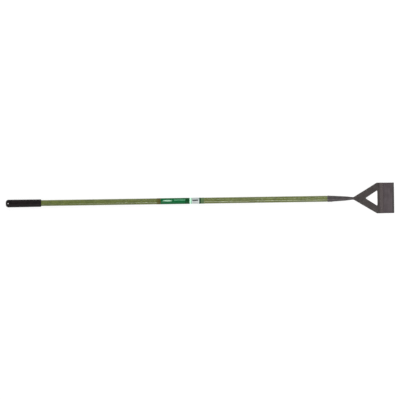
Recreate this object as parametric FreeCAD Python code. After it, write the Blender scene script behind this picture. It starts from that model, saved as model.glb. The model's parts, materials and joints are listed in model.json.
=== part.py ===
"""Push hoe (Dutch hoe): a flat blade under a pressed V frame, a tapered socket and a long tube handle.

Each piece is built in the tool's own frame, in millimetres:
    x runs along the handle, from the closed end of the grip (x = 0) to the blade,
    z is up and the handle's centre line is at z = 0.
The whole tool is then laid on the floor with its sole down, where it rests on the grip and on the
blade's heel, and the origin goes below the middle of its box.
"""

import FreeCAD, Part
import math
import os

from FreeCAD import Placement, Rotation, Vector

# ---- handle ------------------------------------------------------------------------------------
TUBE_RADIUS = 12.7            # one-inch steel tube
TUBE_WALL = 1.2
TUBE_START = 22.0             # where the grip's solid end begins
TUBE_INSERT = 62.0            # how far the swaged end goes into the socket
SWAGE_LEAD = 8.0              # the swaging starts this far outside the socket

# ---- grip --------------------------------------------------------------------------------------
GRIP_LENGTH = 150.0
GRIP_END_RADIUS = 16.4        # at the closed end
GRIP_MOUTH_RADIUS = 15.9
GRIP_DOME_RADIUS = 12.0       # rounding of the closed end
GRIP_BEAD_LENGTH = 7.0        # rolled edge at the mouth
GRIP_BEAD_RADIUS = 16.3
GRIP_LIP_RADIUS = 14.2        # where the rolled edge meets the mouth's face
HANG_HOLE_RADIUS = 2.0
HANG_HOLE_X = 10.0
HANG_HOLE_CHAMFER = 1.0

# ---- label -------------------------------------------------------------------------------------
SLEEVE_START = 637.5
SLEEVE_LENGTH = 201.5
SLEEVE_THICKNESS = 0.3
STICKER_START = 785.5
STICKER_LENGTH = 33.0
STICKER_THICKNESS = 0.15
STICKER_ANGLE = 230.0         # how far it wraps round the sleeve, in degrees

# ---- socket and neck ---------------------------------------------------------------------------
SOCKET_START = 1361.0
SOCKET_LENGTH = 100.0
SOCKET_WALL = 1.55
SOCKET_MOUTH_RADIUS = 13.65
SOCKET_CONE_LENGTH = 63.0     # a straight taper, then a rounded shoulder down to the neck
SOCKET_CONE_RADIUS = 9.85
SOCKET_SHOULDER_X = 81.5      # middle of the shoulder, from the mouth
SOCKET_SHOULDER_RADIUS = 8.6
SOCKET_END_RADIUS = 6.3
SEAM_WIDTH = 0.8

POP_RIVET_X = 16.0            # from the socket's mouth
POP_RIVET_TURN = 60.0         # round the socket from the seam, in degrees
POP_RIVET_RADIUS = 2.4
POP_RIVET_HEAD_RADIUS = 4.5
POP_RIVET_HEAD_HEIGHT = 1.3
POP_RIVET_BULB_RADIUS = 3.4
POP_RIVET_BULB_LENGTH = 3.0

NECK_RADIUS = 6.0
NECK_STRAIGHT = 4.0           # between the socket and the neck's bend
NECK_BEND_RADIUS = 24.0
TANG_LENGTH = 28.0            # wedge of the neck inside the socket
LAP_START = 1.0               # where the frame's tip butts against the neck's bend
LAP_LENGTH = 30.0             # half-lapped stretch under the frame
LAP_HEIGHT = 1.2              # the lap's flat above the neck's centre line

# ---- head --------------------------------------------------------------------------------------
FRAME_ANGLE = 14.0            # the frame slopes down from the handle's line, in degrees
BLADE_ANGLE = 20.0            # the blade rises from the handle's line, in degrees
FRAME_THICKNESS = 3.2
FRAME_TIP_HALF = 6.0          # half width where the frame meets the neck
FRAME_HALF = 65.0
FRAME_CORNER = 101.4          # from the neck to the end of the V
FRAME_CORNER_RADIUS = 3.0
FRAME_BEND = 105.5            # from the neck to the bend
FRAME_BEND_RADIUS = 7.0       # inside the bend
CROSSBAR_LENGTH = 19.5        # flat of the frame past the bend
WINDOW_TIP = 51.0             # the triangular window, from the neck
WINDOW_BASE = 103.5
WINDOW_HALF = 33.0
WINDOW_CORNER_RADIUS = 2.5

BLADE_HALF = 64.6
BLADE_START = 0.6             # the blade's heel, from the bend
BLADE_LENGTH = 66.0
BLADE_THICKNESS = 2.5
BLADE_BEVEL = 8.0
BLADE_EDGE = 0.5              # thickness left at the cutting edge
BLADE_HEEL_RADIUS = 0.8
BLADE_CORNER_RADIUS = 2.0

RIVET_RADIUS = 2.5
RIVET_HEAD_RADIUS = 4.6
RIVET_HEAD_HEIGHT = 1.8
RIVET_SPACING = 44.0
RIVET_X = 10.0                # from the bend
RIVET_SINK = 0.05             # below the sole

WELD_RADIUS = 1.3
SOCKET_WELD_LENGTH = 2.6
SOCKET_WELD_CROWN = 0.5       # how far the bead stands out, above the mean of its two edges

AXIS_X = Vector(1, 0, 0)
AXIS_Y = Vector(0, 1, 0)
AXIS_Z = Vector(0, 0, 1)
CENTRE = Vector(0, 0, 0)


# ---- helpers -----------------------------------------------------------------------------------
def profile(points):
    """A closed face from points and arcs. A pair of vectors is an arc's middle and end."""
    edges = []
    start = points[0]
    for point in points[1:] + [points[0]]:
        if isinstance(point, tuple):
            middle, end = point
            edges.append(Part.Arc(start, middle, end).toShape())
        else:
            end = point
            edges.append(Part.LineSegment(start, end).toShape())
        start = end
    return Part.Face(Part.Wire(edges))


def lifted(point):
    """An (x, radius) point, or a pair of them for an arc, as vectors in the xz plane."""
    if isinstance(point[0], tuple):
        return tuple(lifted(end) for end in point)
    x, radius = point
    return Vector(x, 0, radius)


def turned(points):
    """A solid of revolution round the x axis, from (x, radius) points and arcs."""
    return profile([lifted(point) for point in points]).revolve(CENTRE, AXIS_X, 360)


def ring(start, length, inner, outer):
    return turned([(start, inner), (start + length, inner), (start + length, outer), (start, outer)])


def rounded_outline(corners):
    """A flat face in the xy plane from (x, y, corner radius) corners. The first corner is sharp."""
    points = []
    count = len(corners)
    for index, (x, y, radius) in enumerate(corners):
        here = Vector(x, y, 0)
        if radius == 0:
            points.append(here)
            continue
        before = (Vector(*corners[index - 1][:2], 0) - here).normalize()
        after = (Vector(*corners[(index + 1) % count][:2], 0) - here).normalize()
        half_turn = before.getAngle(after) / 2
        inward = (before + after).normalize()
        reach = radius / math.tan(half_turn)
        depth = radius / math.sin(half_turn) - radius
        points.append(here + before * reach)
        points.append((here + inward * depth, here + after * reach))
    return profile(points)


def bead(points, radius):
    """A weld bead: a round bar along a run of points, with round ends and joints."""
    pieces = [Part.makeSphere(radius, point) for point in points]
    for start, end in zip(points, points[1:]):
        pieces.append(Part.makeCylinder(radius, (end - start).Length, start, end - start))
    return pieces[0].multiFuse(pieces[1:]).removeSplitter()


def domed(radius, height, base):
    """A domed head's section, from its rim to its top: a slice of a sphere on z = base."""
    ball = (radius**2 + height**2) / (2 * height)
    half_turn = math.asin(radius / ball) / 2
    depth = ball * (1 - math.cos(half_turn))
    middle = Vector(ball * math.sin(half_turn), 0, base + height - depth)
    return [Vector(radius, 0, base), (middle, Vector(0, 0, base + height))]


def placed(shape, placement):
    """The shape moved from a local frame to the tool's frame."""
    moved = shape.copy()
    moved.Placement = placement.multiply(shape.Placement)
    return moved


# ---- handle and grip ---------------------------------------------------------------------------
def cone_radius(x):
    """Outer radius of the socket's straight taper, at x from its mouth."""
    slope = (SOCKET_CONE_RADIUS - SOCKET_MOUTH_RADIUS) / SOCKET_CONE_LENGTH
    return SOCKET_MOUTH_RADIUS + slope * x


def make_handle_tube():
    """Steel tube with its far end swaged down to fit the socket's taper."""
    outer = [
        (TUBE_START, TUBE_RADIUS),
        (SOCKET_START - SWAGE_LEAD, TUBE_RADIUS),
        (SOCKET_START, cone_radius(0) - SOCKET_WALL),
        (SOCKET_START + TUBE_INSERT, cone_radius(TUBE_INSERT) - SOCKET_WALL),
    ]
    inner = [(x, radius - TUBE_WALL) for x, radius in reversed(outer)]
    return turned(outer + inner).cut(pop_rivet_hole())


def make_grip():
    """Moulded grip with a domed solid end, a rolled mouth and a hang hole."""
    flat = GRIP_END_RADIUS - GRIP_DOME_RADIUS
    corner = GRIP_DOME_RADIUS * math.sin(math.pi / 4)
    bead_start = GRIP_LENGTH - GRIP_BEAD_LENGTH
    bead_middle = GRIP_LENGTH - GRIP_BEAD_LENGTH / 2
    grip = turned(
        [
            (0, 0),
            (0, flat),
            ((GRIP_DOME_RADIUS - corner, flat + corner), (GRIP_DOME_RADIUS, GRIP_END_RADIUS)),
            (bead_start, GRIP_MOUTH_RADIUS),
            ((bead_middle, GRIP_BEAD_RADIUS), (GRIP_LENGTH, GRIP_LIP_RADIUS)),
            (GRIP_LENGTH, TUBE_RADIUS),
            (TUBE_START, TUBE_RADIUS),
            (TUBE_START, 0),
        ]
    )
    reach = 2 * GRIP_END_RADIUS
    grip = grip.cut(Part.makeCylinder(HANG_HOLE_RADIUS, 2 * reach, Vector(HANG_HOLE_X, 0, -reach)))
    # the dome's surface at the hole is where the countersinks start
    drop = GRIP_DOME_RADIUS - HANG_HOLE_X
    surface = flat + math.sqrt(GRIP_DOME_RADIUS**2 - drop**2)
    for side in (1, -1):
        mouth = Vector(HANG_HOLE_X, 0, side * (surface + HANG_HOLE_CHAMFER))
        wide = HANG_HOLE_RADIUS + 2 * HANG_HOLE_CHAMFER
        depth = 2 * HANG_HOLE_CHAMFER
        grip = grip.cut(Part.makeCone(wide, HANG_HOLE_RADIUS, depth, mouth, AXIS_Z * -side))
    return grip


# ---- label -------------------------------------------------------------------------------------
def make_label_sleeve():
    """Printed film sleeve shrunk round the tube."""
    return ring(SLEEVE_START, SLEEVE_LENGTH, TUBE_RADIUS, TUBE_RADIUS + SLEEVE_THICKNESS)


def make_price_sticker():
    """Paper sticker on the sleeve, centred on its upper side."""
    inner = TUBE_RADIUS + SLEEVE_THICKNESS
    outer = inner + STICKER_THICKNESS
    end = STICKER_START + STICKER_LENGTH
    corners = [(STICKER_START, inner), (end, inner), (end, outer), (STICKER_START, outer)]
    section = profile([lifted(corner) for corner in corners])
    section.rotate(CENTRE, AXIS_X, -STICKER_ANGLE / 2)
    return section.revolve(CENTRE, AXIS_X, STICKER_ANGLE)


# ---- socket and neck ---------------------------------------------------------------------------
def socket_body(inset):
    """The solid inside the socket's outline, moved inward by the inset."""
    shoulder = (SOCKET_START + SOCKET_SHOULDER_X, SOCKET_SHOULDER_RADIUS - inset)
    end = SOCKET_START + SOCKET_LENGTH
    return turned(
        [
            (SOCKET_START, 0),
            (SOCKET_START, SOCKET_MOUTH_RADIUS - inset),
            (SOCKET_START + SOCKET_CONE_LENGTH, SOCKET_CONE_RADIUS - inset),
            (shoulder, (end, SOCKET_END_RADIUS - inset)),
            (end, 0),
        ]
    )


def make_socket():
    """Socket rolled from sheet steel, with its open seam along the underside."""
    seam = Part.makeBox(
        SOCKET_LENGTH + 2,
        SEAM_WIDTH,
        2 * SOCKET_MOUTH_RADIUS,
        Vector(SOCKET_START - 1, -SEAM_WIDTH / 2, -2 * SOCKET_MOUTH_RADIUS),
    )
    return socket_body(0).cut(socket_body(SOCKET_WALL)).cut(seam).cut(pop_rivet_hole())


def pop_rivet_placement():
    """Where the rivet's own axes are: z out of the socket's wall, z = 0 on the handle's line."""
    turn = Rotation(AXIS_X, 180 - POP_RIVET_TURN)
    return Placement(Vector(SOCKET_START + POP_RIVET_X, 0, 0), turn)


def pop_rivet_hole():
    hole = Part.makeCylinder(POP_RIVET_RADIUS, 2 * SOCKET_MOUTH_RADIUS)
    return placed(hole, pop_rivet_placement())


def make_socket_rivet():
    """Blind rivet through the walls of socket and tube, with its bulb inside the tube."""
    wall = cone_radius(POP_RIVET_X)
    bore = wall - SOCKET_WALL - TUBE_WALL
    shank_start = bore - POP_RIVET_BULB_LENGTH
    shank = Part.makeCylinder(POP_RIVET_RADIUS, wall - shank_start, AXIS_Z * shank_start)
    bulb = Part.makeCylinder(POP_RIVET_BULB_RADIUS, bore - shank_start + 1, AXIS_Z * shank_start)
    head = profile(
        [Vector(0, 0, bore), Vector(POP_RIVET_HEAD_RADIUS, 0, bore)]
        + domed(POP_RIVET_HEAD_RADIUS, POP_RIVET_HEAD_HEIGHT, wall)
    ).revolve(CENTRE, AXIS_Z, 360)
    place = pop_rivet_placement()
    head = placed(head, place).cut(socket_body(0))
    bulb = placed(bulb, place).common(socket_body(SOCKET_WALL + TUBE_WALL))
    return placed(shank, place).multiFuse([head, bulb]).removeSplitter()


def head_placement():
    """Where the frame's own axes are: x down the frame, from the end of the neck's bend."""
    angle = math.radians(FRAME_ANGLE)
    forward = NECK_BEND_RADIUS * math.sin(angle)
    drop = NECK_BEND_RADIUS * (1 - math.cos(angle))
    bend_start = SOCKET_START + SOCKET_LENGTH + NECK_STRAIGHT
    neck_end = Vector(bend_start + forward, 0, -drop)
    return Placement(neck_end, Rotation(AXIS_Y, FRAME_ANGLE))


def make_neck():
    """Round bar: a wedge inside the socket, the neck's bend, and a half lap under the frame."""
    end = SOCKET_START + SOCKET_LENGTH
    reach = 2 * SOCKET_MOUTH_RADIUS
    slab = Part.makeBox(TANG_LENGTH, reach, reach, Vector(end - TANG_LENGTH, -reach / 2, -reach / 2))
    wedge = socket_body(SOCKET_WALL).common(slab)
    straight = Part.makeCylinder(NECK_RADIUS, NECK_STRAIGHT, Vector(end, 0, 0), AXIS_X)
    bend_start = Vector(end + NECK_STRAIGHT, 0, 0)
    section = Part.Face(Part.Wire(Part.makeCircle(NECK_RADIUS, bend_start, AXIS_X)))
    bend = section.revolve(bend_start - AXIS_Z * NECK_BEND_RADIUS, AXIS_Y, FRAME_ANGLE)
    lap = Part.makeCylinder(NECK_RADIUS, LAP_LENGTH, CENTRE, AXIS_X)
    lap = lap.fuse(Part.makeSphere(NECK_RADIUS, Vector(LAP_LENGTH, 0, 0)))
    notch = Part.makeBox(
        2 * LAP_LENGTH, reach, NECK_RADIUS, Vector(LAP_START, -reach / 2, LAP_HEIGHT)
    )
    lap = placed(lap.cut(notch), head_placement())
    return wedge.multiFuse([straight, bend, lap]).removeSplitter()


def make_socket_weld():
    """Weld ring round the neck at the socket's small end."""
    end = SOCKET_START + SOCKET_LENGTH
    crown = (SOCKET_END_RADIUS + NECK_RADIUS) / 2 + SOCKET_WELD_CROWN
    middle = (end + SOCKET_WELD_LENGTH / 2, crown)
    tip = (end + SOCKET_WELD_LENGTH, NECK_RADIUS)
    return turned([(end, NECK_RADIUS), (end, SOCKET_END_RADIUS), (middle, tip)])


# ---- head --------------------------------------------------------------------------------------
def bend_point(radius, angle):
    """A point of the frame's bend, in the frame's own axes. The bend's centre is above it."""
    turn = math.radians(angle)
    centre = Vector(FRAME_BEND, 0, LAP_HEIGHT + FRAME_THICKNESS + FRAME_BEND_RADIUS)
    return centre + Vector(math.sin(turn), 0, -math.cos(turn)) * radius


def blade_placement():
    """Where the blade's own axes are: x from the bend to the edge, z = 0 on the frame's underside."""
    turn = FRAME_ANGLE + BLADE_ANGLE
    seat = bend_point(FRAME_BEND_RADIUS + FRAME_THICKNESS, turn)
    return head_placement().multiply(Placement(seat, Rotation(AXIS_Y, -turn)))


def rivet_places():
    """The blade rivets' centres on the frame's underside, in the blade's own axes."""
    return [Vector(RIVET_X, side * RIVET_SPACING, 0) for side in (-1, 0, 1)]


def frame_sheet():
    """The frame's plate before its outline is cut: flat, bend and crossbar."""
    turn = FRAME_ANGLE + BLADE_ANGLE
    inner = FRAME_BEND_RADIUS
    outer = FRAME_BEND_RADIUS + FRAME_THICKNESS
    rise = math.radians(turn)
    crossbar = Vector(math.cos(rise), 0, math.sin(rise)) * CROSSBAR_LENGTH
    side = profile(
        [
            Vector(LAP_START, 0, LAP_HEIGHT),
            bend_point(outer, 0),
            (bend_point(outer, turn / 2), bend_point(outer, turn)),
            bend_point(outer, turn) + crossbar,
            bend_point(inner, turn) + crossbar,
            bend_point(inner, turn),
            (bend_point(inner, turn / 2), bend_point(inner, 0)),
            Vector(LAP_START, 0, LAP_HEIGHT + FRAME_THICKNESS),
        ]
    )
    sheet = side.extrude(AXIS_Y * 2 * FRAME_HALF)
    return sheet.translated(AXIS_Y * -FRAME_HALF)


def make_head_frame():
    """Pressed V frame: two arms, a triangular window and a crossbar bent up over the blade."""
    front = FRAME_BEND + 2 * CROSSBAR_LENGTH
    outline = rounded_outline(
        [
            (LAP_START, -FRAME_TIP_HALF, 0),
            (FRAME_CORNER, -FRAME_HALF, FRAME_CORNER_RADIUS),
            (front, -FRAME_HALF, 0),
            (front, FRAME_HALF, 0),
            (FRAME_CORNER, FRAME_HALF, FRAME_CORNER_RADIUS),
            (LAP_START, FRAME_TIP_HALF, 0),
        ]
    )
    window = rounded_outline(
        [
            (WINDOW_BASE, 0, 0),
            (WINDOW_BASE, WINDOW_HALF, WINDOW_CORNER_RADIUS),
            (WINDOW_TIP, 0, WINDOW_CORNER_RADIUS),
            (WINDOW_BASE, -WINDOW_HALF, WINDOW_CORNER_RADIUS),
        ]
    )
    depth = 4 * CROSSBAR_LENGTH
    cutter = outline.cut(window).extrude(AXIS_Z * depth).translated(AXIS_Z * -depth / 2)
    frame = placed(frame_sheet().common(cutter), head_placement())
    for place in rivet_places():
        hole = Part.makeCylinder(RIVET_RADIUS, 2 * FRAME_THICKNESS, place - AXIS_Z)
        frame = frame.cut(placed(hole, blade_placement()))
    return frame


def make_blade():
    """Hardened blade under the crossbar, ground from above, with a smooth sole."""
    end = BLADE_START + BLADE_LENGTH
    inset = BLADE_HEEL_RADIUS * (1 - math.sin(math.pi / 4))
    heel_middle = Vector(BLADE_START + inset, 0, inset - BLADE_THICKNESS)
    side = profile(
        [
            Vector(BLADE_START, 0, 0),
            Vector(end - BLADE_BEVEL, 0, 0),
            Vector(end, 0, BLADE_EDGE - BLADE_THICKNESS),
            Vector(end, 0, -BLADE_THICKNESS),
            Vector(BLADE_START + BLADE_HEEL_RADIUS, 0, -BLADE_THICKNESS),
            (heel_middle, Vector(BLADE_START, 0, BLADE_HEEL_RADIUS - BLADE_THICKNESS)),
        ]
    )
    plate = side.extrude(AXIS_Y * 2 * BLADE_HALF).translated(AXIS_Y * -BLADE_HALF)
    outline = rounded_outline(
        [
            (end, -BLADE_HALF, 0),
            (end, BLADE_HALF, 0),
            (BLADE_START, BLADE_HALF, BLADE_CORNER_RADIUS),
            (BLADE_START, -BLADE_HALF, BLADE_CORNER_RADIUS),
        ]
    )
    plate = plate.common(outline.extrude(AXIS_Z * -BLADE_THICKNESS))
    for place in rivet_places():
        plate = plate.cut(rivet_body(0).translated(place))
    return placed(plate, blade_placement())


def rivet_body(sink):
    """Rivet through frame and blade: domed on the frame, countersunk and flush with the sole."""
    sole = sink - BLADE_THICKNESS
    flare = RIVET_HEAD_RADIUS - RIVET_RADIUS
    section = profile(
        [
            Vector(0, 0, sole),
            Vector(RIVET_HEAD_RADIUS - sink, 0, sole),
            Vector(RIVET_RADIUS, 0, flare - BLADE_THICKNESS),
            Vector(RIVET_RADIUS, 0, FRAME_THICKNESS),
        ]
        + domed(RIVET_HEAD_RADIUS, RIVET_HEAD_HEIGHT, FRAME_THICKNESS)
    )
    return section.revolve(CENTRE, AXIS_Z, 360)


def make_blade_rivets():
    """Three equal rivets in a row across the crossbar."""
    rivets = [rivet_body(RIVET_SINK).translated(place) for place in rivet_places()]
    return placed(Part.makeCompound(rivets), blade_placement())


def make_frame_welds():
    """One bead round the lap, under the frame, and one across the frame's tip."""
    height = LAP_HEIGHT - WELD_RADIUS / 3
    diagonal = NECK_RADIUS * math.sin(math.pi / 4)
    near = LAP_START + 2 * WELD_RADIUS
    side = [
        Vector(near, NECK_RADIUS, height),
        Vector(LAP_LENGTH, NECK_RADIUS, height),
        Vector(LAP_LENGTH + diagonal, diagonal, height),
    ]
    nose = Vector(LAP_LENGTH + NECK_RADIUS, 0, height)
    other_side = [Vector(point.x, -point.y, point.z) for point in reversed(side)]
    around = bead(side + [nose] + other_side, WELD_RADIUS)
    top = LAP_HEIGHT + FRAME_THICKNESS
    half = NECK_RADIUS / 2
    across = bead([Vector(LAP_START, -half, top), Vector(LAP_START, half, top)], WELD_RADIUS)
    welds = placed(Part.makeCompound([around, across]), head_placement())
    return welds.cut(make_neck()).cut(make_head_frame())


# ---- laying the tool down ----------------------------------------------------------------------
def rest_tilt():
    """How far the handle rises towards the head when the grip and the heel touch the floor."""
    heel_centre = blade_placement().multVec(
        Vector(BLADE_START + BLADE_HEEL_RADIUS, 0, BLADE_HEEL_RADIUS - BLADE_THICKNESS)
    )
    dome_centre = Vector(GRIP_DOME_RADIUS, 0, GRIP_DOME_RADIUS - GRIP_END_RADIUS)
    reach = heel_centre - dome_centre
    # both roundings touch one line, so it makes this angle with the line through their centres
    lean = math.asin((GRIP_DOME_RADIUS - BLADE_HEEL_RADIUS) / reach.Length)
    return -math.degrees(math.atan2(reach.z, reach.x) + lean)


def laid_down(shapes):
    """The shapes tilted to rest on the floor, with the origin below the middle of their box."""
    tilt = Placement(CENTRE, Rotation(AXIS_Y, -rest_tilt()))
    tilted = {name: placed(shape, tilt) for name, shape in shapes.items()}
    box = Part.makeCompound(list(tilted.values())).optimalBoundingBox(False)
    shift = Vector(-box.Center.x, -box.Center.y, -box.ZMin)
    return {name: shape.translated(shift) for name, shape in tilted.items()}


def make_pieces():
    """Every piece by its name, in the tool's own frame."""
    return {
        "handle_tube": make_handle_tube(),
        "grip": make_grip(),
        "label_sleeve": make_label_sleeve(),
        "price_sticker": make_price_sticker(),
        "socket": make_socket(),
        "socket_rivet": make_socket_rivet(),
        "neck": make_neck(),
        "socket_weld": make_socket_weld(),
        "head_frame": make_head_frame(),
        "frame_welds": make_frame_welds(),
        "blade": make_blade(),
        "blade_rivets": make_blade_rivets(),
    }


def main():
    os.makedirs("parts", exist_ok=True)
    for name, shape in laid_down(make_pieces()).items():
        shape.exportStep(f"parts/{name}.step")
        box = shape.BoundBox
        print(
            f"{name:14s} solids {len(shape.Solids)} valid {shape.isValid()} volume {shape.Volume:9.1f}"
            f"  x {box.XMin:7.1f} {box.XMax:7.1f}  y {box.YMin:6.1f} {box.YMax:6.1f}"
            f"  z {box.ZMin:6.2f} {box.ZMax:6.2f}"
        )


main()
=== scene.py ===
"""Looks of the push hoe: finer meshes, procedural materials, and a plain studio seen from above.

The tool's own frame has x along the handle from the closed end of the grip, and z up. The blade's
frame has x from the frame's bend to the cutting edge, and z out of the blade's upper face. Both
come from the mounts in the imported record. All lengths are in metres.
"""

import json
import math

import bmesh
import bpy
from mathutils import Matrix, Vector, noise


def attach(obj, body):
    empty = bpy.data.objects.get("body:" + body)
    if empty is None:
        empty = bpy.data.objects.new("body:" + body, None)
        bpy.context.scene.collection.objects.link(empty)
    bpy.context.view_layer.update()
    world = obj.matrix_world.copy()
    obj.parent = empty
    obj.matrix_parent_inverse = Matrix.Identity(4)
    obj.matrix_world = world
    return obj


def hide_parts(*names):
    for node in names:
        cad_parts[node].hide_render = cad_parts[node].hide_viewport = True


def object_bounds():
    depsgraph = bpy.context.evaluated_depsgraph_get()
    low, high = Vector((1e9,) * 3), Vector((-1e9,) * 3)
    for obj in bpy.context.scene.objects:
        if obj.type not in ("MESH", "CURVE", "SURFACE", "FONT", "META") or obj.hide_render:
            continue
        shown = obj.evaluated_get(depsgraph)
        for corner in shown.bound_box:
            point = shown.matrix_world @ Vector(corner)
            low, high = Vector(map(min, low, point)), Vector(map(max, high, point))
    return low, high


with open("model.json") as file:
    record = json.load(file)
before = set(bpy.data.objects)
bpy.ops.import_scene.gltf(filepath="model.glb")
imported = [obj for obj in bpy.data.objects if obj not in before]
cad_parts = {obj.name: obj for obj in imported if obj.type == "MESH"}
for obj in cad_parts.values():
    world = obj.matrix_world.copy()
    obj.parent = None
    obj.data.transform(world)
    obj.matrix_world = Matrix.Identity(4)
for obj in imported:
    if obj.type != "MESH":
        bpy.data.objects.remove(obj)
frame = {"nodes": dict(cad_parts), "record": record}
cad_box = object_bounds()

MM = 0.001
BODY = "root"

# ---- the tool's own dimensions ------------------------------------------------------------------
HANG_HOLE_X = 10 * MM         # from the closed end of the grip
TUBE_WALL = 1.2 * MM
SWAGE_LEAD = 8 * MM           # the swaging starts this far outside the socket

SOCKET_WALL = 1.55 * MM
SOCKET_CONE_LENGTH = 63 * MM  # a straight taper, then a rounded shoulder
SOCKET_CONE_RADIUS = 9.85 * MM
SOCKET_END_RADIUS = 6.3 * MM
SOCKET_SHOULDER_RISE = 0.525 * MM
SEAM_HALF_WIDTH = 0.4 * MM

POP_RIVET_X = 16 * MM         # from the socket's mouth
POP_RIVET_TURN = math.radians(60)
POP_RIVET_RADIUS = 2.4 * MM
POP_RIVET_HEAD = 4.5 * MM
POP_RIVET_DOME = 1.3 * MM
POP_RIVET_RECESS = 1.2 * MM   # radius of the recess in the dome
POP_RIVET_MANDREL = 1.05 * MM
POP_RIVET_EDGE = 0.25 * MM
POP_RIVET_BULB = 3.3 * MM
POP_RIVET_BULB_DEPTH = 2.25 * MM  # from the tube's inside, as the next one
POP_RIVET_DEPTH = 3 * MM

RIVET_X = 10 * MM             # from the frame's bend
RIVET_SPACING = 44 * MM
RIVET_RADIUS = 2.5 * MM
RIVET_HEAD = 4.6 * MM
RIVET_HEAD_HEIGHT = 1.8 * MM
RIVET_FOOT = 0.06 * MM        # how far the countersunk end stands out of the sole
RIVET_CHAMFER = 0.15 * MM
HOLE_MARGIN = 0.1 * MM        # slack in telling which corners are on a rivet's hole

NECK_RADIUS = 6 * MM
NECK_STRAIGHT = 4 * MM
NECK_BEND_RADIUS = 24 * MM
FRAME_ANGLE = math.radians(14)
FRAME_THICKNESS = 3.2 * MM
LAP_START = 1 * MM
LAP_LENGTH = 30 * MM
LAP_HEIGHT = 1.2 * MM
SOLE_MOUNT_X = 42 * MM        # from the frame's bend
BLADE_THICKNESS = 2.5 * MM
BLADE_BEVEL = 8 * MM

NECK_WELD_RADIUS = 2.4 * MM
NECK_WELD_SINK = 1.75 * MM    # its middle line, below the neck's surface
NECK_WELD_LEAD = 0.4 * MM     # its middle line, past the socket's end
LAP_WELD_RADIUS = 1.8 * MM
TIP_WELD_RADIUS = 2.1 * MM
TIP_WELD_SINK = 0.9 * MM
TIP_WELD_HALF = 3.4 * MM
WELD_STEP = 0.16 * MM         # between the rings of a bead's mesh
BEAD_SIDES = 28
RIPPLE_PITCH = 1.3 * MM
RIPPLE_DEPTH = 0.2 * MM
RIPPLE_LAG = 0.9              # share of the pitch

LIT_CROSSBAR_START = 109 * MM        # from the head's origin: painted highlight, the crossbar painted lighter where it tilts towards the light
LIT_CROSSBAR_END = 116 * MM
LIT_CROSSBAR_SHARE = 0.8

# ---- label, from the sleeve's start -------------------------------------------------------------
LABEL_BAND_END = 18 * MM
LEAF_CENTRE = 46 * MM
LEAF_HALF_LENGTH = 25 * MM
LEAF_HALF_WIDTH = 2.9 * MM
LEAF_SIDE = 0.5 * MM          # round the tube from its top, towards +y
LEAF_BOW = 1.6 * MM           # how far its rib bends towards +y in the middle
LEAF_RIB = 0.35 * MM
LEAF_RIB_EDGE = 0.2 * MM
RULE_START = 74 * MM
RULE_END = 122 * MM
RULE_SIDE = 4.4 * MM
RULE_HALF_WIDTH = 1.2 * MM
DARK_START = 121 * MM
STRIPE_START = 140 * MM
STRIPE_END = 149.5 * MM
TAIL_START = 181.5 * MM
TAIL_LINE_END = 187.5 * MM
PRINT_EDGE = 0.3 * MM         # the print's colours fade into each other over this length

FILM_THICKNESS = 0.12 * MM
FILM_LAP = math.radians(16)
FILM_LIFT = 1.1               # height of the film's inside over the tube, in thicknesses
FILM_LAP_RISE = 1.15          # how much higher the lap's upper layer lies, in thicknesses
FILM_LAP_LEAD = 0.4           # the rise starts this share of the lap's width before it
FILM_RIPPLE = 0.06 * MM
FILM_END_GAP = 0.4 * MM       # between the CAD sleeve's ends and the film's
FILM_WAVE = 0.25 * MM         # the ends wander in and out by this, three times in a turn
FILM_SMALL_WAVE = 0.12 * MM   # and by this, seven times in a turn

# ---- sticker, from its start --------------------------------------------------------------------
GREEN_STRIP_END = 2.0 * MM
GREEN_STRIP_EDGE = 0.6 * MM
SHADED_START = -1 * MM        # painted shade: the paper greys from here, round the tube towards +y, away from the key light
SHADED_END = 3 * MM
BARS_START = 4 * MM
BARS_END = 28 * MM
BARS_SIDE = 1.5 * MM          # round the tube from its top, towards +y
BARS_HALF_WIDTH = 3.5 * MM
LINES_START = 6 * MM
LINES_END = 27 * MM
LINE_SIDES = (-6.5 * MM, -9 * MM)
LINE_HALF_WIDTH = 0.4 * MM
STICKER_GAP = 0.03 * MM       # between the CAD sleeve and the paper
PAPER_THICKNESS = 0.1 * MM
LIFT_HEIGHT = 1.1 * MM        # of the lifted corner
LIFT_START = 0.72             # share of the sticker's length where the lift starts
LIFT_SIDE = 0.09              # share of its width that lifts
LIFT_POWER = 1.6              # the lift grows late, as this power

# ---- meshes -------------------------------------------------------------------------------------
CREASE_ANGLE = math.radians(35)         # corners sharper than this look sharp
RIVET_CREASE_ANGLE = math.radians(50)
ROUNDED_ANGLE = math.radians(40)        # corners sharper than this get a rounded edge
FLAT_ANGLE = math.radians(1.5)          # faces that meet at less than this become one
SOCKET_EDGE = 0.3 * MM                  # width of its rounded edges, as the next two
FRAME_EDGE = 0.7 * MM
BLADE_EDGE = 0.25 * MM
MERGE_DISTANCE = 0.001 * MM

# ---- materials ----------------------------------------------------------------------------------
BORDER_EDGE = 0.15 * MM       # half the length over which a printed border fades
MIX_FIRST = 6                 # sockets of a Mix node that mixes colours
MIX_SECOND = 7
MIX_RESULT = 2

# ---- studio -------------------------------------------------------------------------------------
VIEW_WIDTH = 1.692
CAMERA_HEIGHT = 4.0           # over the tool's middle
CAMERA_ROLL = math.radians(0.87)
CAMERA_SHIFT = Vector((0.0003, 0.0029, 0))
SKY_STRENGTH = 0.42           # above the horizon
GROUND_STRENGTH = 1.0         # below it, past the end of the floor
HORIZON_BLEND = 0.01
FLOOR_SIZE = 60.0
FLOOR_GLOW = 0.84             # with the light that falls on it, the floor is just white


def linear(red, green, blue):
    """A screen colour, 0 to 255, as the linear colour that shaders take."""
    values = []
    for value in (red, green, blue):
        share = value / 255
        values.append(share / 12.92 if share <= 0.04045 else ((share + 0.055) / 1.055) ** 2.4)
    return (*values, 1.0)


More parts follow.
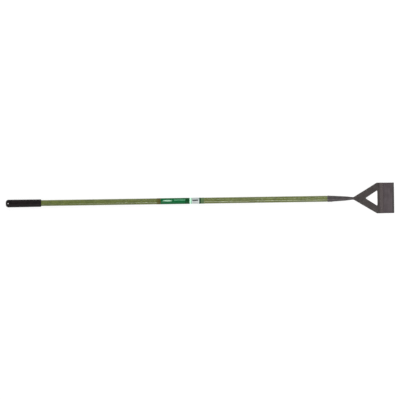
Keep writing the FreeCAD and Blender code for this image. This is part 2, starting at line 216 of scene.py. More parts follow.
# ---- frames -------------------------------------------------------------------------------------
def frame_matrix(origin, up):
    """A frame with z along up, y across the tool, and x forward."""
    forward = Vector((up.z, 0, -up.x))
    matrix = Matrix((forward, Vector((0, 1, 0)), up)).transposed().to_4x4()
    matrix.translation = origin
    return matrix


def tool_frame():
    """Set by the hang hole's mount, with its origin at the closed end of the grip."""
    hang = MOUNTS["hang_hole"]
    up = Vector(hang["axis"]).normalized()
    matrix = frame_matrix(Vector(hang["pos_m"]), up)
    return matrix @ Matrix.Translation((-HANG_HOLE_X, 0, 0))


def head_frame():
    """With its origin at the end of the neck's bend, and x down the frame."""
    forward = NECK_STRAIGHT + NECK_BEND_RADIUS * math.sin(FRAME_ANGLE)
    drop = NECK_BEND_RADIUS * (1 - math.cos(FRAME_ANGLE))
    neck_end = Matrix.Translation((SOCKET_END + forward, 0, -drop))
    return TOOL @ neck_end @ Matrix.Rotation(FRAME_ANGLE, 4, "Y")


def blade_frame():
    """Set by the sole's mount, with its origin at the frame's bend, on the blade's upper face."""
    sole = MOUNTS["sole"]
    up = -Vector(sole["axis"]).normalized()
    matrix = frame_matrix(Vector(sole["pos_m"]), up)
    return matrix @ Matrix.Translation((-SOLE_MOUNT_X, 0, BLADE_THICKNESS))


def span(node, matrix):
    """Lowest and highest corner of a CAD node in the frame of a matrix."""
    inverse = matrix.inverted()
    places = [inverse @ vertex.co for vertex in frame["nodes"][node].data.vertices]
    low = Vector([min(place[axis] for place in places) for axis in range(3)])
    high = Vector([max(place[axis] for place in places) for axis in range(3)])
    return low, high


MOUNTS = {mount["name"]: mount for mount in frame["record"]["mounts"]}
TOOL = tool_frame()
BLADE = blade_frame()

tube_low, tube_high = span("handle_tube", TOOL)
socket_low, socket_high = span("socket", TOOL)
sleeve_low, sleeve_high = span("label_sleeve", TOOL)
sticker_low, sticker_high = span("price_sticker", TOOL)
blade_high = span("blade", BLADE)[1]
TUBE_START = tube_low.x
TUBE_END = tube_high.x
TUBE_RADIUS = tube_high.z
SOCKET_START = socket_low.x
SOCKET_END = socket_high.x
SOCKET_MOUTH_RADIUS = socket_high.z
SLEEVE_START = sleeve_low.x
SLEEVE_END = sleeve_high.x
SLEEVE_RADIUS = sleeve_high.z
STICKER_START = sticker_low.x
STICKER_END = sticker_high.x
STICKER_ARC = 2 * math.acos(sticker_low.z / sticker_high.z)
BEVEL_START = blade_high.x - BLADE_BEVEL
HEAD = head_frame()


# ---- materials ----------------------------------------------------------------------------------
class Graph:
    """Short calls for the nodes of one material."""

    def __init__(self, name, matrix=None):
        self.material = bpy.data.materials.new(name)
        self.material.use_nodes = True
        self.tree = self.material.node_tree
        self.shader = self.tree.nodes["Principled BSDF"]
        self.place = self.node("ShaderNodeTexCoord").outputs["Object"]
        if matrix is not None:
            self.place = self.seen_from(matrix)

    def seen_from(self, matrix):
        """The place in the frame of a matrix."""
        inverse = matrix.inverted()
        mapping = self.node("ShaderNodeMapping")
        self.feed(mapping.inputs["Vector"], self.place)
        mapping.inputs["Location"].default_value = inverse.translation
        mapping.inputs["Rotation"].default_value = inverse.to_euler()
        return mapping.outputs["Vector"]

    def coordinate(self, axis):
        """The place along an axis of the material's frame."""
        parts = self.node("ShaderNodeSeparateXYZ")
        self.feed(parts.inputs[0], self.place)
        return parts.outputs[axis]

    def node(self, kind, **settings):
        made = self.tree.nodes.new(kind)
        for key, value in settings.items():
            setattr(made, key, value)
        return made

    def feed(self, socket, value):
        """Links an output to a socket, or sets the socket to a number or colour."""
        if isinstance(value, bpy.types.NodeSocket):
            self.tree.links.new(value, socket)
        else:
            socket.default_value = value

    def set(self, **values):
        for key, value in values.items():
            self.feed(self.shader.inputs[key.replace("_", " ")], value)

    def stretched(self, scale):
        """The place with its axes scaled."""
        mapping = self.node("ShaderNodeMapping")
        self.feed(mapping.inputs["Vector"], self.place)
        mapping.inputs["Scale"].default_value = scale
        return mapping.outputs["Vector"]

    def noise(self, scale, detail, place=None):
        texture = self.node("ShaderNodeTexNoise")
        self.feed(texture.inputs["Vector"], place or self.place)
        texture.inputs["Scale"].default_value = scale
        texture.inputs["Detail"].default_value = detail
        return texture.outputs["Fac"]

    def math(self, operation, first, second=0.0):
        made = self.node("ShaderNodeMath", operation=operation)
        self.feed(made.inputs[0], first)
        self.feed(made.inputs[1], second)
        return made.outputs[0]

    def ramp(self, value, low, high, start=0.0, end=1.0):
        """The value's smooth way from low to high, as start to end."""
        made = self.node("ShaderNodeMapRange", interpolation_type="SMOOTHSTEP")
        self.feed(made.inputs["Value"], value)
        made.inputs["From Min"].default_value = low
        made.inputs["From Max"].default_value = high
        made.inputs["To Min"].default_value = start
        made.inputs["To Max"].default_value = end
        return made.outputs["Result"]

    def mix(self, share, first, second):
        made = self.node("ShaderNodeMix", data_type="RGBA")
        self.feed(made.inputs["Factor"], share)
        self.feed(made.inputs[MIX_FIRST], first)
        self.feed(made.inputs[MIX_SECOND], second)
        return made.outputs[MIX_RESULT]

    def bump(self, height, distance, below=None):
        made = self.node("ShaderNodeBump")
        self.feed(made.inputs["Height"], height)
        made.inputs["Distance"].default_value = distance
        if below is not None:
            self.feed(made.inputs["Normal"], below)
        return made.outputs["Normal"]

    def edges(self, radius):
        """1 on sharp outer and inner edges, 0 on flat stretches."""
        rounded = self.node("ShaderNodeBevel", samples=4)
        rounded.inputs["Radius"].default_value = radius
        dot = self.node("ShaderNodeVectorMath", operation="DOT_PRODUCT")
        self.feed(dot.inputs[0], rounded.outputs["Normal"])
        self.feed(dot.inputs[1], self.node("ShaderNodeNewGeometry").outputs["Normal"])
        return self.ramp(dot.outputs["Value"], 0.98, 0.80)

    def between(self, value, low, high):
        """1 where the value lies between low and high."""
        rise = self.ramp(value, low - BORDER_EDGE, low + BORDER_EDGE)
        fall = self.ramp(value, high - BORDER_EDGE, high + BORDER_EDGE, 1.0, 0.0)
        return self.math("MULTIPLY", rise, fall)


def mottled(graph, colour, shade, tint):
    """A coat's colour, clouded with the tint, then blotched and speckled with the shade."""
    cloud = graph.ramp(graph.noise(16, 5), 0.35, 0.65)
    blotches = graph.ramp(graph.noise(75, 6), 0.40, 0.75, 0.0, 0.8)
    speckle = graph.ramp(graph.noise(1300, 2), 0.35, 0.7, 0.0, 0.45)
    coat = graph.mix(cloud, linear(*colour), linear(*tint))
    coat = graph.mix(blotches, coat, linear(*shade))
    return graph.mix(speckle, coat, linear(*shade))


def wear_marks(graph, wear):
    """Chipped edges and patches of fine scratches, between 0 and the share wear."""
    chipped = graph.ramp(graph.noise(420, 5), 0.44, 0.62)
    rubbed = graph.math("MULTIPLY", graph.edges(0.9 * MM), chipped)
    fine = graph.noise(3600, 1, graph.stretched((0.008, 1, 1)))
    patches = graph.ramp(graph.noise(30, 3), 0.50, 0.64)
    scratched = graph.math("MULTIPLY", graph.ramp(fine, 0.64, 0.74), patches)
    marks = graph.math("MAXIMUM", rubbed, graph.math("MULTIPLY", scratched, 0.6))
    return graph.math("MULTIPLY", marks, wear)


def paint(name, colour, shade, tint, roughness, gloss, worn, wear, lit_crossbar=None):
    """Powder coat: mottled, orange peel, rubbed edges, scratches and perhaps a painted highlight.

    The coat is the colour, clouded with the tint and spotted with the shade. The marks show the
    colour worn, at the share wear. If lit_crossbar is given, the crossbar is painted in that
    lighter colour, as a highlight where it tilts towards the light.
    """
    graph = Graph(name, HEAD)
    coat = mottled(graph, colour, shade, tint)
    if lit_crossbar is not None:
        # painted highlight: from the crossbar on, the coat turns to the lighter colour, as if lit more
        crossbar = graph.ramp(graph.coordinate("X"), LIT_CROSSBAR_START, LIT_CROSSBAR_END, 0.0, LIT_CROSSBAR_SHARE)
        coat = graph.mix(crossbar, coat, linear(*lit_crossbar))
    graph.set(Base_Color=graph.mix(wear_marks(graph, wear), coat, linear(*worn)))
    smudges = graph.ramp(graph.noise(38, 5), 0.3, 0.75, roughness * 0.85, roughness * 1.3)
    graph.set(Roughness=smudges, Specular_IOR_Level=gloss)
    graph.set(Normal=graph.bump(graph.noise(700, 2), 0.02 * MM))
    return graph.material


def grip_vinyl():
    """Soft black vinyl: matt, with a fine grain, dull handling marks and a fine parting line."""
    graph = Graph("grip_vinyl", TOOL)
    cloud = graph.ramp(graph.noise(60, 5), 0.3, 0.7)
    graph.set(Base_Color=graph.mix(cloud, linear(13, 8, 8), linear(25, 17, 17)))
    graph.set(Roughness=graph.ramp(graph.noise(110, 4), 0.3, 0.7, 0.42, 0.58))
    graph.set(Specular_IOR_Level=0.15)
    grain = graph.node("ShaderNodeTexVoronoi", feature="SMOOTH_F1")
    graph.feed(grain.inputs["Vector"], graph.place)
    grain.inputs["Scale"].default_value = 1500
    fine = graph.bump(grain.outputs["Distance"], 0.05 * MM)
    parting = graph.between(graph.coordinate("Z"), -0.15 * MM, 0.15 * MM)
    waves = graph.bump(graph.noise(90, 2), 0.25 * MM, fine)
    graph.set(Normal=graph.bump(parting, 0.08 * MM, waves))
    return graph.material


def on_the_tube(graph):
    """Distance along the tool, and round the tube from its top towards +y."""
    turn = graph.math("ARCTAN2", graph.coordinate("Y"), graph.coordinate("Z"))
    return graph.coordinate("X"), graph.math("MULTIPLY", turn, SLEEVE_RADIUS)


def printed_bar(graph, along, around, start, end, side, half_width):
    """1 in a bar that runs from start to end along the tube, with its middle at the side."""
    return graph.math(
        "MULTIPLY",
        graph.between(along, start, end),
        graph.between(around, side - half_width, side + half_width),
    )


def printed_leaf(graph, along, around):
    """1 on the two halves of the leaf, 0 on its rib and outside it."""
    along_leaf = graph.math("DIVIDE", graph.math("SUBTRACT", along, LEAF_CENTRE), LEAF_HALF_LENGTH)
    taper = graph.math("SUBTRACT", 1.0, graph.math("MULTIPLY", along_leaf, along_leaf))
    half_width = graph.math("MULTIPLY", taper, LEAF_HALF_WIDTH)
    rib_side = graph.math("ADD", graph.math("MULTIPLY", taper, LEAF_BOW), LEAF_SIDE)
    from_rib = graph.math("ABSOLUTE", graph.math("SUBTRACT", around, rib_side))
    leaf = graph.ramp(graph.math("SUBTRACT", half_width, from_rib), 0.0, PRINT_EDGE)
    beside_rib = graph.ramp(from_rib, LEAF_RIB, LEAF_RIB + LEAF_RIB_EDGE)
    return graph.math("MULTIPLY", leaf, beside_rib)


def label_colour(graph, along, around):
    """Brown band, flecked green with a leaf and a rule, pale stripe, painted shade line, grey-green
    tail.
    """
    fleck = graph.ramp(graph.noise(420, 3), 0.3, 0.7)
    colour = graph.mix(fleck, linear(0, 88, 44), linear(4, 102, 54))
    colour = graph.mix(graph.between(along, DARK_START, STRIPE_START), colour, linear(0, 70, 30))
    colour = graph.mix(printed_leaf(graph, along, around), colour, linear(200, 240, 214))
    rule = printed_bar(graph, along, around, RULE_START, RULE_END, RULE_SIDE, RULE_HALF_WIDTH)
    colour = graph.mix(rule, colour, linear(120, 190, 150))
    colour = graph.mix(graph.between(along, STRIPE_START, STRIPE_END), colour, linear(196, 242, 214))
    # painted shade: a dark line across the film, for the shadow at the inner sleeve's edge
    edge_shade_line = graph.ramp(along, TAIL_START, TAIL_START + PRINT_EDGE)
    colour = graph.mix(edge_shade_line, colour, linear(14, 58, 32))
    tail = graph.ramp(along, TAIL_LINE_END, TAIL_LINE_END + PRINT_EDGE)
    colour = graph.mix(tail, colour, linear(88, 114, 74))
    browning = graph.ramp(along, 0.0, LABEL_BAND_END)
    browned = graph.mix(browning, linear(90, 92, 44), linear(80, 72, 34))
    band = graph.ramp(along, LABEL_BAND_END - PRINT_EDGE, LABEL_BAND_END, 1.0, 0.0)
    return graph.mix(band, colour, browned)


def label_print():
    """The sleeve's printed film, slightly wrinkled."""
    graph = Graph("label_print", TOOL)
    along, around = on_the_tube(graph)
    along = graph.math("SUBTRACT", along, SLEEVE_START)
    graph.set(Base_Color=label_colour(graph, along, around))
    graph.set(Roughness=graph.ramp(graph.noise(70, 3), 0.3, 0.7, 0.24, 0.36))
    graph.set(Specular_IOR_Level=0.1)
    wrinkle = graph.noise(45, 3, graph.stretched((1, 0.35, 0.35)))
    graph.set(Normal=graph.bump(wrinkle, 0.25 * MM))
    return graph.material


def sticker_paper(graph, along, around):
    """White paper, with painted shade past the tube's top, and a green strip at its start."""
    fibres = graph.ramp(graph.noise(700, 4), 0.3, 0.7)
    paper = graph.mix(fibres, linear(200, 208, 206), linear(210, 216, 214))
    # painted shade on the side of the tube turned away from the light
    shaded = graph.ramp(around, SHADED_START, SHADED_END, 0.0, 0.55)
    paper = graph.mix(shaded, paper, linear(152, 162, 162))
    strip = graph.ramp(along, GREEN_STRIP_END, GREEN_STRIP_END + GREEN_STRIP_EDGE, 1.0, 0.0)
    return graph.mix(strip, paper, linear(140, 184, 160))


def sticker_ink(graph, along, around):
    """A block of random bars and two paler lines."""
    bars = graph.ramp(graph.noise(1100, 0, graph.stretched((0, 1, 0))), 0.42, 0.45)
    block = printed_bar(graph, along, around, BARS_START, BARS_END, BARS_SIDE, BARS_HALF_WIDTH)
    ink = graph.math("MULTIPLY", bars, block)
    for side in LINE_SIDES:
        line = printed_bar(graph, along, around, LINES_START, LINES_END, side, LINE_HALF_WIDTH)
        ink = graph.math("MAXIMUM", ink, graph.math("MULTIPLY", line, 0.6))
    return ink


def sticker_print():
    """The printed paper of the sticker."""
    graph = Graph("sticker_print", TOOL)
    along, around = on_the_tube(graph)
    along = graph.math("SUBTRACT", along, STICKER_START)
    paper = sticker_paper(graph, along, around)
    ink = sticker_ink(graph, along, around)
    graph.set(Base_Color=graph.mix(ink, paper, linear(24, 26, 30)))
    graph.set(Roughness=graph.ramp(graph.noise(90, 3), 0.3, 0.7, 0.45, 0.6))
    graph.set(Specular_IOR_Level=0.1)
    graph.set(Normal=graph.bump(graph.noise(900, 4), 0.02 * MM))
    return graph.material


def blade_lacquer():
    """Lacquered blade steel: faint rolling lines, a ground edge and rubbed borders."""
    graph = Graph("blade_lacquer", BLADE)
    rolled = graph.noise(220, 4, graph.stretched((1, 0.06, 1)))
    cloud = graph.ramp(graph.noise(26, 5), 0.3, 0.7)
    coat = graph.mix(cloud, linear(76, 68, 71), linear(90, 82, 85))
    coat = graph.mix(graph.ramp(rolled, 0.35, 0.7, 0.0, 0.35), coat, linear(62, 55, 58))
    lines = graph.noise(2600, 2, graph.stretched((0.03, 1, 0)))
    ground = graph.mix(graph.ramp(lines, 0.35, 0.65), linear(62, 58, 59), linear(86, 82, 82))
    edge = graph.ramp(graph.coordinate("X"), BEVEL_START - 0.3 * MM, BEVEL_START + 0.3 * MM)
    rubbed = graph.math("MULTIPLY", graph.edges(0.7 * MM), graph.ramp(graph.noise(240, 4), 0.4, 0.6))
    coat = graph.mix(graph.math("MULTIPLY", rubbed, 0.5), coat, linear(140, 136, 136))
    graph.set(Base_Color=graph.mix(edge, coat, ground))
    smudges = graph.ramp(graph.noise(30, 5), 0.3, 0.7, 0.36, 0.5)
    graph.set(Roughness=smudges, Specular_IOR_Level=0.3)
    graph.set(Metallic=graph.math("MULTIPLY", edge, 0.4))
    fine = graph.bump(lines, 0.005 * MM)
    graph.set(Normal=graph.bump(rolled, 0.05 * MM, fine))
    return graph.material


def rivet_steel():
    """Darkened rivet steel with small forging marks."""
    graph = Graph("rivet_steel")
    marks = graph.noise(500, 4)
    tone = graph.ramp(marks, 0.3, 0.7)
    graph.set(Base_Color=graph.mix(tone, linear(74, 70, 71), linear(104, 100, 101)))
    graph.set(Roughness=graph.ramp(graph.noise(300, 3), 0.3, 0.7, 0.35, 0.55))
    graph.set(Metallic=0.6)
    graph.set(Normal=graph.bump(marks, 0.12 * MM))
    return graph.material


# ---- meshes -------------------------------------------------------------------------------------
def add_piece(name, builder, matrix, material, crease=CREASE_ANGLE):
    """A new piece of the tool from a bmesh in the frame of a matrix, shaded smooth up to the crease."""
    mesh = bpy.data.meshes.new(name)
    builder.transform(matrix)
    builder.normal_update()
    builder.to_mesh(mesh)
    builder.free()
    mesh.materials.append(material)
    mesh.shade_smooth()
    mesh.set_sharp_from_angle(angle=crease)
    piece = bpy.data.objects.new(name, mesh)
    bpy.context.scene.collection.objects.link(piece)
    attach(piece, BODY)
    return piece


def solidify(piece, thickness):
    """Thickens a sheet on the side that its faces look to."""
    modifier = piece.modifiers.new("thickness", "SOLIDIFY")
    modifier.thickness = thickness
    modifier.offset = 1.0


def bevel(piece, width):
    """Rounds the edges where faces meet sharply."""
    modifier = piece.modifiers.new("edges", "BEVEL")
    modifier.width = width
    modifier.segments = 3
    modifier.limit_method = "ANGLE"
    modifier.angle_limit = ROUNDED_ANGLE
    modifier.harden_normals = True


def grid(columns, rows, place):
    """A bmesh of quads whose points are place(column share, row share)."""
    builder = bmesh.new()
    points = []
    for row in range(rows + 1):
        line = [place(column / columns, row / rows) for column in range(columns + 1)]
        points.append([builder.verts.new(point) for point in line])
    for low, high in zip(points, points[1:]):
        for column in range(columns):
            builder.faces.new((low[column], low[column + 1], high[column + 1], high[column]))
    return builder


def rivet_hole(vertex):
    """Which blade rivet's hole the vertex is on, from -1 to 1, or None."""
    place = BLADE.inverted() @ vertex.co
    for side in (-1, 0, 1):
        distance = math.hypot(place.x - RIVET_X, place.y - side * RIVET_SPACING)
        if distance < RIVET_HEAD + HOLE_MARGIN:
            return side
    return None


def is_hole_wall(face):
    """Whether all corners of the face are on one rivet's hole."""
    holes = {rivet_hole(vertex) for vertex in face.verts}
    return len(holes) == 1 and None not in holes


def rounded_copy(name, node, edge, material):
    """A CAD node's shape as clean faces, with its edges rounded and the rivets' holes closed."""
    builder = bmesh.new()
    builder.from_mesh(frame["nodes"][node].data)
    bmesh.ops.remove_doubles(builder, verts=builder.verts, dist=MERGE_DISTANCE)
    walls = [face for face in builder.faces if is_hole_wall(face)]
    bmesh.ops.delete(builder, geom=walls, context="FACES")
    rims = [border for border in builder.edges if border.is_boundary]
    bmesh.ops.holes_fill(builder, edges=rims, sides=0)
    bmesh.ops.dissolve_limit(
        builder, angle_limit=FLAT_ANGLE, verts=builder.verts, edges=builder.edges
    )
    piece = add_piece(name, builder, Matrix(), material)
    bevel(piece, edge)
    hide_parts(node)
    return piece


def keep(node, material):
    """A CAD node stays, with a better material."""
    mesh = frame["nodes"][node].data
    mesh.materials.clear()
    mesh.materials.append(material)


def revolved(stations, segments):
    """A bmesh of a closed outline of (x, radius) stations, turned once round the x axis."""
    loop = stations + stations[:1]

    def place(share_round, share_along):
        x, radius = loop[round(share_along * len(stations))]
        turn = 2 * math.pi * share_round
        return x, radius * math.sin(turn), radius * math.cos(turn)

    builder = grid(segments, len(stations), place)
    bmesh.ops.remove_doubles(builder, verts=builder.verts, dist=MERGE_DISTANCE)
    bmesh.ops.recalc_face_normals(builder, faces=builder.faces)
    return builder


def shares(count):
    """Numbers from 0 to 1, in equal steps."""
    return [index / count for index in range(count + 1)]


def smooth(share):
    """The share, eased so that it starts and ends level."""
    return share * share * (3 - 2 * share)


def socket_radius(x):
    """Outer radius of the socket at x from its mouth."""
    if x < SOCKET_CONE_LENGTH:
        return SOCKET_MOUTH_RADIUS + (SOCKET_CONE_RADIUS - SOCKET_MOUTH_RADIUS) * x / SOCKET_CONE_LENGTH
    share = (x - SOCKET_CONE_LENGTH) / (SOCKET_END - SOCKET_START - SOCKET_CONE_LENGTH)
    straight = SOCKET_CONE_RADIUS + (SOCKET_END_RADIUS - SOCKET_CONE_RADIUS) * share
    return straight + 4 * SOCKET_SHOULDER_RISE * share * (1 - share)


def make_tube(material):
    """Steel tube whose far end is swaged down, in a soft shoulder, to fit the socket."""
    mouth_bore = SOCKET_MOUTH_RADIUS - SOCKET_WALL
    swage_start = SOCKET_START - SWAGE_LEAD
    outer = [(TUBE_START, TUBE_RADIUS)]
    for share in shares(10):
        drop = (TUBE_RADIUS - mouth_bore) * smooth(share)
        outer.append((swage_start + SWAGE_LEAD * share, TUBE_RADIUS - drop))
    outer.append((TUBE_END, socket_radius(TUBE_END - SOCKET_START) - SOCKET_WALL))
    inner = [(x, radius - TUBE_WALL) for x, radius in reversed(outer)]
    builder = revolved(outer + inner, segments=128)
    piece = add_piece("steel_tube", builder, TOOL, material)
    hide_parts("handle_tube")


def make_socket(material):
    """Socket rolled from sheet, with softened edges and an open seam along the underside."""
    length = SOCKET_END - SOCKET_START
    outer = [(share * length, socket_radius(share * length)) for share in shares(40)]
    inner = [(x, radius - SOCKET_WALL) for x, radius in reversed(outer)]
    loop = outer + inner + outer[:1]

    def place(share_round, share_along):
        x, radius = loop[round(share_along * (len(loop) - 1))]
        turn = (2 * share_round - 1) * (math.pi - math.asin(SEAM_HALF_WIDTH / radius))
        return SOCKET_START + x, radius * math.sin(turn), radius * math.cos(turn)

    builder = grid(96, len(loop) - 1, place)
    bmesh.ops.remove_doubles(builder, verts=builder.verts, dist=MERGE_DISTANCE)
    rims = [edge for edge in builder.edges if edge.is_boundary]
    bmesh.ops.holes_fill(builder, edges=rims, sides=0)
    bmesh.ops.recalc_face_normals(builder, faces=builder.faces)
    piece = add_piece("rolled_socket", builder, TOOL, material)
    bevel(piece, SOCKET_EDGE)
    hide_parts("socket")


def pop_rivet_outline():
    """Stations of the blind rivet, whose x axis points out of the socket."""
    wall = socket_radius(POP_RIVET_X)
    bore = wall - SOCKET_WALL - TUBE_WALL
    recess = POP_RIVET_RECESS
    edge = POP_RIVET_EDGE
    stations = [
        (wall + edge, 0),
        (wall + edge, POP_RIVET_MANDREL),
        (wall, recess),
        (wall + POP_RIVET_DOME - edge, recess),
        (wall + POP_RIVET_DOME, recess + edge),
    ]
    for share in shares(12)[1:]:
        radius = recess + edge + (POP_RIVET_HEAD - recess - edge) * share
        stations.append((wall + edge + (POP_RIVET_DOME - edge) * math.sqrt(1 - share**2), radius))
    stations += [
        (bore + TUBE_WALL, POP_RIVET_HEAD),
        (bore + TUBE_WALL, POP_RIVET_RADIUS),
        (bore, POP_RIVET_RADIUS),
        (bore - edge, POP_RIVET_BULB),
        (bore - POP_RIVET_BULB_DEPTH, POP_RIVET_BULB),
        (bore - POP_RIVET_DEPTH, POP_RIVET_RADIUS),
        (bore - POP_RIVET_DEPTH, 0),
    ]
    return stations


def make_pop_rivet(material):
    """Blind rivet: a domed flange with the broken mandrel in its recess, a shank and a bulb."""
    outward = Vector((0, -math.sin(POP_RIVET_TURN), -math.cos(POP_RIVET_TURN)))
    turned = outward.to_track_quat("X", "Y").to_matrix().to_4x4()
    place = TOOL @ Matrix.Translation((SOCKET_START + POP_RIVET_X, 0, 0)) @ turned
    builder = revolved(pop_rivet_outline(), segments=48)
    piece = add_piece("pop_rivet", builder, place, material)
    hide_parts("socket_rivet")


def blade_rivet_outline():
    """Stations of a blade rivet, whose x axis points up out of the crossbar."""
    foot = -BLADE_THICKNESS - RIVET_FOOT
    stations = [
        (foot, 0),
        (foot, RIVET_HEAD - RIVET_CHAMFER),
        (-BLADE_THICKNESS, RIVET_HEAD),
        (RIVET_HEAD - RIVET_RADIUS - BLADE_THICKNESS, RIVET_RADIUS),
        (FRAME_THICKNESS, RIVET_RADIUS),
        (FRAME_THICKNESS, RIVET_HEAD),
    ]
    for share in shares(16)[1:]:
        turn = math.pi / 2 * share
        height = FRAME_THICKNESS + RIVET_HEAD_HEIGHT * math.sin(turn)
        stations.append((height, RIVET_HEAD * math.cos(turn)))
    return stations


def make_blade_rivets(material):
    """Three rivets in a row: domed on the crossbar, countersunk in the sole."""
    upright = Matrix.Rotation(math.radians(-90), 4, "Y")
    for side_name, side in (("left", 1), ("middle", 0), ("right", -1)):
        name = f"blade_rivet_{side_name}"
        builder = revolved(blade_rivet_outline(), segments=64)
        place = BLADE @ Matrix.Translation((RIVET_X, side * RIVET_SPACING, 0)) @ upright
        piece = add_piece(name, builder, place, material, RIVET_CREASE_ANGLE)
        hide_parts("blade_rivets")


def bead_ring(builder, point, up, side, radius, phase, from_end):
    """One ring of a weld bead. The phase counts ripples, whose middles run ahead of their sides."""
    end = min(1.0, (from_end + WELD_STEP) / radius)
    rounding = math.sqrt(1 - (1 - end) ** 2)
    ring = []
    for step in range(BEAD_SIDES):
        turn = 2 * math.pi * step / BEAD_SIDES
        ripple = (phase + RIPPLE_LAG * math.sin(turn) ** 2) % 1
        reach = rounding * (radius - RIPPLE_DEPTH * ripple**2)
        ring.append(builder.verts.new(point + (up * math.cos(turn) + side * math.sin(turn)) * reach))
    return ring


def bead(path, up, radius, closed=False):
    """A bmesh of a weld bead along points one step apart, with round ends unless it closes."""
    builder = bmesh.new()
    count = len(path)
    ripples = round(count * WELD_STEP / RIPPLE_PITCH)
    rings = []
    for index, point in enumerate(path):
        before = path[index - 1] if closed or index > 0 else point
        after = path[(index + 1) % count] if closed or index < count - 1 else point
        side = up.cross(after - before).normalized()
        from_end = math.inf if closed else min(index, count - 1 - index) * WELD_STEP
        phase = ripples * index / count
        rings.append(bead_ring(builder, point, up, side, radius, phase, from_end))
    pairs = list(zip(rings, rings[1:]))
    if closed:
        pairs.append((rings[-1], rings[0]))
    else:
        builder.faces.new(rings[0])
        builder.faces.new(rings[-1])
    for low, high in pairs:
        for step in range(BEAD_SIDES):
            nearby = (step + 1) % BEAD_SIDES
            builder.faces.new((low[step], low[nearby], high[nearby], high[step]))
    bmesh.ops.recalc_face_normals(builder, faces=builder.faces)
    return builder


def make_neck_weld(material):
    """Bead once round the neck where it leaves the socket."""
    radius = NECK_RADIUS - NECK_WELD_SINK
    x = SOCKET_END + NECK_WELD_LEAD
    count = round(2 * math.pi * radius / WELD_STEP)
    path = []
    for index in range(count):
        turn = 2 * math.pi * index / count
        path.append(Vector((x, radius * math.sin(turn), radius * math.cos(turn))))
    builder = bead(path, Vector((1, 0, 0)), NECK_WELD_RADIUS, closed=True)
    piece = add_piece("neck_weld", builder, TOOL, material)
    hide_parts("socket_weld")


def lap_path():
    """The line down one side of the lap, round its nose and back, in the head's frame."""
    start = LAP_START + 2 * LAP_WELD_RADIUS
    straight = LAP_LENGTH - start
    total = 2 * straight + math.pi * NECK_RADIUS
    path = []
    for index in range(round(total / WELD_STEP) + 1):
        travelled = index * WELD_STEP
        turn = min(max(travelled - straight, 0) / NECK_RADIUS, math.pi)
        back = max(travelled - straight - math.pi * NECK_RADIUS, 0)
        x = start + min(travelled, straight) + NECK_RADIUS * math.sin(turn) - back
        path.append(Vector((x, NECK_RADIUS * math.cos(turn), LAP_HEIGHT)))
    return path


def make_frame_welds(material):
    """Beads round the lap, under the frame, and across the frame's tip, on top."""
    up = Vector((0, 0, 1))
    half = round(TIP_WELD_HALF / WELD_STEP)
    top = LAP_HEIGHT + FRAME_THICKNESS - TIP_WELD_SINK
    across = [Vector((LAP_START, step * WELD_STEP, top)) for step in range(-half, half + 1)]
    lap = bead(lap_path(), up, LAP_WELD_RADIUS)
    tip = bead(across, up, TIP_WELD_RADIUS)
    for name, builder in (("lap_weld", lap), ("tip_weld", tip)):
        piece = add_piece(name, builder, HEAD, material)
        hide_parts("frame_welds")


def make_sleeve(material):
    """Film wrapped once round the tube, lapped underneath, with slightly uneven ends."""
    full = 2 * math.pi + FILM_LAP

    def place(share_along, share_round):
        turn = math.pi - FILM_LAP / 2 + share_round * full
        over = max(0.0, (share_round * full - 2 * math.pi) / FILM_LAP + FILM_LAP_LEAD)
        radius = TUBE_RADIUS + FILM_THICKNESS * (FILM_LIFT + FILM_LAP_RISE * min(1.0, over))
        sample = Vector((share_along * 11, 3 * math.sin(turn), 3 * math.cos(turn)))
        radius += FILM_RIPPLE * noise.noise(sample)
        wander = FILM_WAVE * math.sin(3 * turn + 1) + FILM_SMALL_WAVE * math.sin(7 * turn)
        length = SLEEVE_END - SLEEVE_START - 2 * FILM_END_GAP
        x = SLEEVE_START + FILM_END_GAP + share_along * length + wander * (2 * share_along - 1)
        return x, radius * math.sin(turn), radius * math.cos(turn)

    builder = grid(60, 150, place)
    piece = add_piece("label_film", builder, TOOL, material)
    solidify(piece, FILM_THICKNESS)
    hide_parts("label_sleeve")


def make_sticker(material):
    """Paper sticker round the sleeve's upper side, with one corner starting to lift."""

    def place(share_along, share_round):
        turn = STICKER_ARC * (share_round - 0.5)
        lift_along = max(0.0, share_along - LIFT_START) / (1 - LIFT_START)
        lift_round = max(0.0, LIFT_SIDE - share_round) / LIFT_SIDE
        lift = LIFT_HEIGHT * (lift_along * lift_round) ** LIFT_POWER
        radius = SLEEVE_RADIUS + STICKER_GAP + lift
        x = STICKER_START + share_along * (STICKER_END - STICKER_START)
        return x, radius * math.sin(turn), radius * math.cos(turn)

    piece = add_piece("price_label", grid(40, 120, place), TOOL, material)
    solidify(piece, PAPER_THICKNESS)
    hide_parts("price_sticker")


# ---- studio -------------------------------------------------------------------------------------
def make_floor():
    """A wide pale floor under the tool that glows a little, so that it stays white."""
    graph = Graph("studio_floor")
    cloud = graph.noise(3, 3)
    graph.set(Base_Color=graph.mix(cloud, (0.24, 0.24, 0.24, 1), (0.26, 0.26, 0.26, 1)))
    graph.set(Roughness=0.9, Specular_IOR_Level=0.1)
    graph.set(Emission_Color=(1, 1, 1, 1), Emission_Strength=FLOOR_GLOW)
    builder = grid(4, 4, lambda x, y: ((x - 0.5) * FLOOR_SIZE, (y - 0.5) * FLOOR_SIZE, 0.0))
    mesh = bpy.data.meshes.new("studio_floor")
    builder.to_mesh(mesh)
    builder.free()
    mesh.materials.append(graph.material)
    floor = bpy.data.objects.new("studio_floor", mesh)
    bpy.context.scene.collection.objects.link(floor)
    floor.location.z = cad_box[0].z


def add_softbox(name, place, width, height, power, lights=True, mirrored=True):
    """A rectangular light that faces the tool. It lights surfaces, is mirrored in gloss, or both."""
    light = bpy.data.lights.new(name, "AREA")
    light.shape = "RECTANGLE"
    light.size = width
    light.size_y = height
    light.energy = power
    lamp = bpy.data.objects.new(name, light)
    bpy.context.scene.collection.objects.link(lamp)
    lamp.location = place
    lamp.rotation_euler = (-Vector(place)).to_track_quat("-Z", "Y").to_euler()
    lamp.visible_diffuse = lights
    lamp.visible_glossy = mirrored


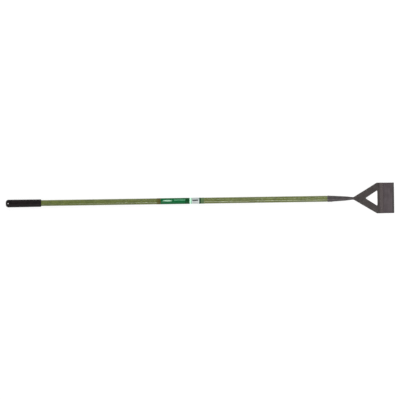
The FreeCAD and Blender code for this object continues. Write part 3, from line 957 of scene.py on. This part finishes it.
def make_light():
    """Long softboxes on both sides, and a sky that is white below the horizon, like the floor."""
    world = bpy.data.worlds.new("studio")
    bpy.context.scene.world = world
    world.use_nodes = True
    nodes = world.node_tree.nodes
    links = world.node_tree.links
    parts = nodes.new("ShaderNodeSeparateXYZ")
    links.new(nodes.new("ShaderNodeTexCoord").outputs["Generated"], parts.inputs[0])
    horizon = nodes.new("ShaderNodeMapRange")
    horizon.inputs["From Min"].default_value = -HORIZON_BLEND
    horizon.inputs["From Max"].default_value = 0.0
    horizon.inputs["To Min"].default_value = GROUND_STRENGTH
    horizon.inputs["To Max"].default_value = SKY_STRENGTH
    links.new(parts.outputs["Z"], horizon.inputs["Value"])
    links.new(horizon.outputs["Result"], nodes["Background"].inputs["Strength"])
    nodes["Background"].inputs["Color"].default_value = (1, 1, 1, 1)
    add_softbox("key_softbox", (1.1, -1.9, 2.5), width=3.1, height=0.2, power=46)
    add_softbox("gloss_softbox", (1.05, -2.2, 2.75), width=3.2, height=0.2, power=38, lights=False)
    add_softbox("back_softbox", (0.8, 1.9, 2.5), width=1.8, height=0.4, power=20)
    add_softbox("fill_softbox", (0.0, 1.9, 2.5), width=3.0, height=1.2, power=34, mirrored=False)


def make_camera():
    """Straight above the tool and far off, turned so the handle rises slightly to the right."""
    data = bpy.data.cameras.new("camera")
    data.type = "ORTHO"
    data.ortho_scale = VIEW_WIDTH
    camera = bpy.data.objects.new("camera", data)
    bpy.context.scene.collection.objects.link(camera)
    middle = (cad_box[0] + cad_box[1]) / 2
    camera.location = middle + CAMERA_SHIFT + Vector((0, 0, CAMERA_HEIGHT))
    camera.rotation_euler = (0, 0, -CAMERA_ROLL)
    bpy.context.scene.camera = camera
    bpy.context.scene.view_settings.view_transform = "Standard"


# ---- the tool -----------------------------------------------------------------------------------
tube_paint = paint(
    "tube_paint", colour=(92, 102, 38), shade=(76, 86, 32), tint=(104, 114, 48),
    roughness=0.24, gloss=0.66, worn=(150, 152, 138), wear=0.3,
)
head_paint = paint(
    "head_paint", colour=(74, 67, 69), shade=(50, 45, 45), tint=(66, 63, 63),
    roughness=0.40, gloss=0.28, worn=(140, 136, 134), wear=0.6,
)
# the head's paint again, darker on the frame as painted shade where its arms tilt away from the light,
# and with a painted highlight on the crossbar
frame_paint_lit_and_shaded = paint(
    "frame_paint_lit_and_shaded", colour=(67, 60, 59), shade=(43, 38, 37), tint=(62, 56, 54),
    roughness=0.40, gloss=0.4, worn=(150, 146, 144), wear=0.85, lit_crossbar=(88, 79, 80),
)

keep("grip", grip_vinyl())
keep("neck", head_paint)
make_tube(tube_paint)
make_sleeve(label_print())
make_sticker(sticker_print())
make_socket(head_paint)
make_pop_rivet(rivet_steel())
make_blade_rivets(frame_paint_lit_and_shaded)
make_neck_weld(head_paint)
make_frame_welds(head_paint)
rounded_copy("v_frame", "head_frame", FRAME_EDGE, frame_paint_lit_and_shaded)
rounded_copy("hoe_blade", "blade", BLADE_EDGE, blade_lacquer())

make_floor()
make_light()
make_camera()
